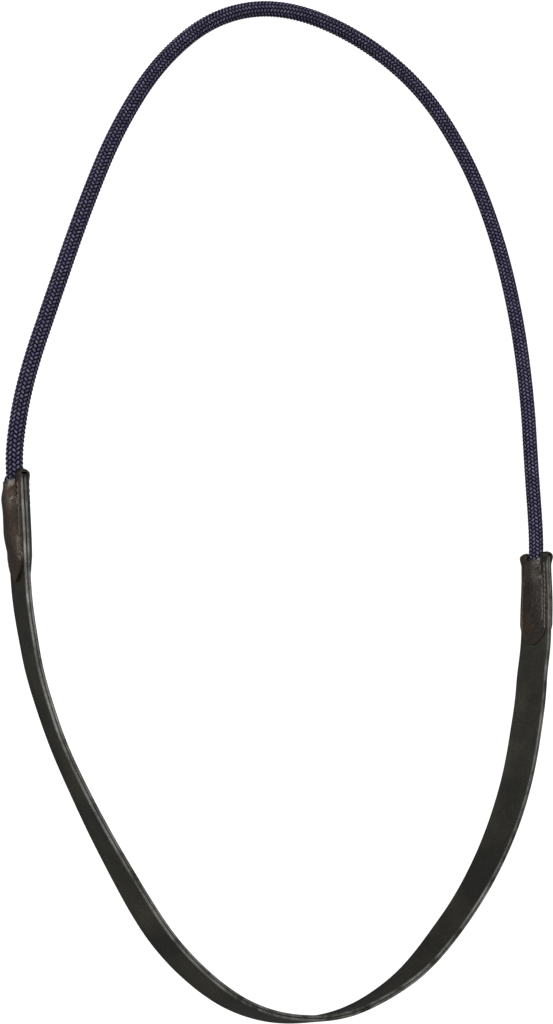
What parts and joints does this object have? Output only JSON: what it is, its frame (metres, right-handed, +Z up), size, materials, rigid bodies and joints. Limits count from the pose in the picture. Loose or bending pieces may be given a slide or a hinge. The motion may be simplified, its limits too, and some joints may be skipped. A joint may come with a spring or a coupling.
{
  "type": "martingale neck strap",
  "caption": "Closed neck strap: a flat two-ply leather strap joined into a loop by a round braided cord, sewn under folded leather end tabs.",
  "frame": {"origin": "the middle of the strap's lower edge, between the two plies, on the surface the strap stands on", "axes": "+X along the strap at its middle, +Y from the strap's middle towards the cord, +Z up, along the strap's width"},
  "size_m": [0.4034, 0.6382, 0.024],
  "materials": {
    "strap_leather": "smooth waxed black bridle leather",
    "tab_leather": "thin dark brown leather, creased",
    "cord_braid": "tight navy braided sheath",
    "cord_core": "undyed parallel strands",
    "thread": "waxed dark sewing thread",
    "whipping": "waxed binding thread"
  },
  "bodies": {
    "strap": {"strap_outer_ply": "strap_leather", "strap_inner_ply": "strap_leather", "left_end_tab": "tab_leather", "left_upper_stitches": "thread", "left_lower_stitches": "thread", "left_cord_end_sheath": "cord_braid", "left_cord_end_core": "cord_core", "left_cord_whipping": "whipping", "right_end_tab": "tab_leather", "right_upper_stitches": "thread", "right_lower_stitches": "thread", "right_cord_end_sheath": "cord_braid", "right_cord_end_core": "cord_core", "right_cord_whipping": "whipping"},
    "cord": {"cord_sheath": "cord_braid", "cord_core": "cord_core"}
  },
  "joints": [
    {"name": "cord_fold", "type": "hinge", "parent": "strap", "child": "cord", "pos_m": [-0.19258, 0.33827, 0.012], "axis": [0.9951, -0.0986, 0], "range_deg": [0, 90]}
  ]
}
